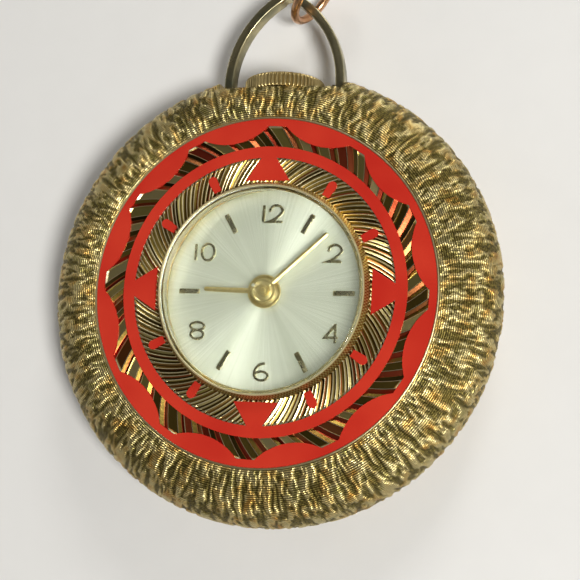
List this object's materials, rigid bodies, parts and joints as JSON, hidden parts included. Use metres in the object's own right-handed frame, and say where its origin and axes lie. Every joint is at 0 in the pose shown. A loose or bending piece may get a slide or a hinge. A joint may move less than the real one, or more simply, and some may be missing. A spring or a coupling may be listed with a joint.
{
  "type": "pendant watch",
  "caption": "Round pendant watch with a domed bark-textured case, a red enamelled ornament ring, a crown at twelve, a bow with a jump ring and a hand-wound movement.",
  "frame": {"origin": "centre of the flat face of the case back on which the watch lies", "axes": "+X to 3 o'clock, +Y to 12 o'clock through crown and bow, +Z out of the dial"},
  "size_m": [0.038, 0.0495, 0.0095],
  "materials": {
    "bark_gold": "textured gilt",
    "polished_gold": "polished gilt",
    "satin_gold": "satin gilt",
    "red_enamel": "glossy vitreous enamel",
    "clear_crystal": "polished clear acrylic",
    "silvered_dial": "silvered sunburst",
    "applied_gold": "polished gilt",
    "coppery_gold": "worn rolled gold",
    "plated_brass": "rhodium plated, grained",
    "wheel_brass": "gilt",
    "bright_steel": "polished steel",
    "spring_steel": "blued spring steel",
    "white_plastic": "moulded"
  },
  "bodies": {
    "watch": {"case_body": "bark_gold", "case_back": "polished_gold", "bow": "polished_gold", "ornament_plate": "satin_gold", "enamel_scalloped_ring": "red_enamel", "enamel_thin_ring": "red_enamel", "enamel_hour_triangles": "red_enamel", "enamel_hour_bars": "red_enamel", "crystal": "clear_crystal", "dial": "silvered_dial", "applied_numerals": "applied_gold", "hour_batons": "applied_gold", "main_plate": "plated_brass", "barrel_bridge": "plated_brass", "train_bridge": "plated_brass", "pallet_bridge": "plated_brass", "balance_cock": "plated_brass", "casing_clamps": "plated_brass", "crown_wheel_screw": "bright_steel", "bridge_screws": "bright_steel", "clamp_screws": "bright_steel", "click_spring": "spring_steel", "yoke_spring": "spring_steel", "movement_ring": "white_plastic"},
    "winding_pinion": {"winding_pinion": "bright_steel"},
    "crown_stem": {"crown": "satin_gold", "winding_stem": "bright_steel"},
    "sliding_pinion": {"sliding_pinion": "bright_steel"},
    "crown_wheel": {"crown_wheel": "bright_steel"},
    "ratchet": {"ratchet_wheel": "bright_steel", "ratchet_screw": "bright_steel", "barrel_arbor": "bright_steel"},
    "barrel": {"barrel_drum": "wheel_brass", "barrel_cover": "wheel_brass", "mainspring": "spring_steel"},
    "center_wheel": {"center_wheel": "wheel_brass", "center_pinion": "bright_steel"},
    "third_wheel": {"third_wheel": "wheel_brass", "third_pinion": "bright_steel"},
    "fourth_wheel": {"fourth_wheel": "wheel_brass", "fourth_pinion": "bright_steel"},
    "escape_wheel": {"escape_wheel": "bright_steel", "escape_pinion": "bright_steel"},
    "pallet_fork": {"pallet_fork": "bright_steel", "pallet_arbor": "bright_steel"},
    "balance": {"balance_wheel": "wheel_brass", "balance_staff": "bright_steel", "hairspring": "spring_steel"},
    "regulator": {"regulator": "bright_steel"},
    "click": {"click": "bright_steel"},
    "setting_lever": {"setting_lever": "bright_steel"},
    "yoke": {"yoke": "bright_steel"},
    "minute_hand": {"minute_hand": "applied_gold", "cannon_pinion": "bright_steel"},
    "minute_wheel": {"minute_wheel": "wheel_brass"},
    "hour_hand": {"hour_hand": "applied_gold", "hour_wheel": "wheel_brass"},
    "setting_wheel": {"setting_wheel": "bright_steel"},
    "jump_ring": {"jump_ring": "coppery_gold"},
    "chain_link": {"chain_link": "coppery_gold"}
  },
  "joints": [
    {"name": "crown_turn", "type": "hinge", "parent": "watch", "child": "winding_pinion", "pos_m": [0, 0, 0.0035], "axis": [0, 1, 0], "continuous": true},
    {"name": "crown_pull", "type": "slide", "parent": "winding_pinion", "child": "crown_stem", "axis": [0, 1, 0], "range_m": [0, 0.0006]},
    {"name": "sliding_pinion_slide", "type": "slide", "parent": "winding_pinion", "child": "sliding_pinion", "axis": [0, 1, 0], "range_m": [-0.0006, 0]},
    {"name": "crown_wheel_turn", "type": "hinge", "parent": "watch", "child": "crown_wheel", "pos_m": [0, 0.00426, 0], "axis": [0, 0, 1], "continuous": true},
    {"name": "ratchet_turn", "type": "hinge", "parent": "watch", "child": "ratchet", "pos_m": [0.00473, 0.00127, 0], "axis": [0, 0, 1], "continuous": true},
    {"name": "fourth_wheel_turn", "type": "hinge", "parent": "watch", "child": "fourth_wheel", "pos_m": [-0.00361, -0.00441, 0], "axis": [0, 0, 1], "continuous": true},
    {"name": "third_wheel_turn", "type": "hinge", "parent": "watch", "child": "third_wheel", "pos_m": [-0.001, -0.00336, 0], "axis": [0, 0, 1], "continuous": true},
    {"name": "center_wheel_turn", "type": "hinge", "parent": "watch", "child": "center_wheel", "pos_m": [0, 0, 0], "axis": [0, 0, 1], "continuous": true},
    {"name": "barrel_turn", "type": "hinge", "parent": "watch", "child": "barrel", "pos_m": [0.00473, 0.00127, 0], "axis": [0, 0, 1], "continuous": true},
    {"name": "escape_wheel_turn", "type": "hinge", "parent": "watch", "child": "escape_wheel", "pos_m": [-0.006, -0.00329, 0], "axis": [0, 0, 1], "continuous": true},
    {"name": "pallet_fork_rock", "type": "hinge", "parent": "watch", "child": "pallet_fork", "pos_m": [-0.00561, -0.00143, 0], "axis": [0, 0, 1], "range_deg": [-4, 4]},
    {"name": "balance_swing", "type": "hinge", "parent": "watch", "child": "balance", "pos_m": [-0.005, 0.0015, 0], "axis": [0, 0, 1], "range_deg": [-200, 200], "stiffness_Nm_per_rad": 0.00000013},
    {"name": "regulator_shift", "type": "hinge", "parent": "watch", "child": "regulator", "pos_m": [-0.005, 0.0015, 0], "axis": [0, 0, 1], "range_deg": [-20, 20]},
    {"name": "click_rock", "type": "hinge", "parent": "watch", "child": "click", "pos_m": [0.00615, -0.00263, 0], "axis": [0, 0, 1], "range_deg": [-8, 0]},
    {"name": "setting_lever_swing", "type": "hinge", "parent": "watch", "child": "setting_lever", "pos_m": [0.0029, 0.00805, 0], "axis": [0, 0, 1], "range_deg": [-11.82, 0]},
    {"name": "yoke_swing", "type": "hinge", "parent": "watch", "child": "yoke", "pos_m": [-0.003, 0.0052, 0], "axis": [0, 0, 1], "range_deg": [-11.43, 0]},
    {"name": "minute_hand_turn", "type": "hinge", "parent": "watch", "child": "minute_hand", "pos_m": [0, 0, 0], "axis": [0, 0, 1], "continuous": true},
    {"name": "minute_wheel_turn", "type": "hinge", "parent": "watch", "child": "minute_wheel", "pos_m": [-0.00271, 0.00097, 0], "axis": [0, 0, 1], "continuous": true},
    {"name": "hour_hand_turn", "type": "hinge", "parent": "watch", "child": "hour_hand", "pos_m": [0, 0, 0], "axis": [0, 0, 1], "continuous": true},
    {"name": "setting_wheel_turn", "type": "hinge", "parent": "watch", "child": "setting_wheel", "pos_m": [0, 0.00295, 0], "axis": [0, 0, 1], "continuous": true},
    {"name": "jump_ring_swing", "type": "hinge", "parent": "watch", "child": "jump_ring", "pos_m": [0.00148, 0.02518, 0.0035], "axis": [-0.7805, 0.6251, 0], "range_deg": [-35, 35]},
    {"name": "chain_link_swing", "type": "hinge", "parent": "jump_ring", "child": "chain_link", "pos_m": [0.0035, 0.0277, 0.0035], "axis": [0, 0, 1], "range_deg": [-25, 25]}
  ],
  "couplings": [
    {"joint": "sliding_pinion_slide", "follows": "crown_pull", "ratio": -1},
    {"joint": "setting_lever_swing", "follows": "crown_pull", "rad_per_m": -343.61},
    {"joint": "yoke_swing", "follows": "crown_pull", "rad_per_m": -332.23},
    {"joint": "crown_wheel_turn", "follows": "crown_turn", "ratio": 0.66667},
    {"joint": "ratchet_turn", "follows": "crown_turn", "ratio": -0.5},
    {"joint": "third_wheel_turn", "follows": "fourth_wheel_turn", "ratio": -0.13333},
    {"joint": "center_wheel_turn", "follows": "fourth_wheel_turn", "ratio": 0.016667},
    {"joint": "barrel_turn", "follows": "fourth_wheel_turn", "ratio": -0.0027778},
    {"joint": "escape_wheel_turn", "follows": "fourth_wheel_turn", "ratio": -10},
    {"joint": "minute_wheel_turn", "follows": "minute_hand_turn", "ratio": -0.33333},
    {"joint": "hour_hand_turn", "follows": "minute_hand_turn", "ratio": 0.083333},
    {"joint": "setting_wheel_turn", "follows": "minute_hand_turn", "ratio": 0.6}
  ]
}
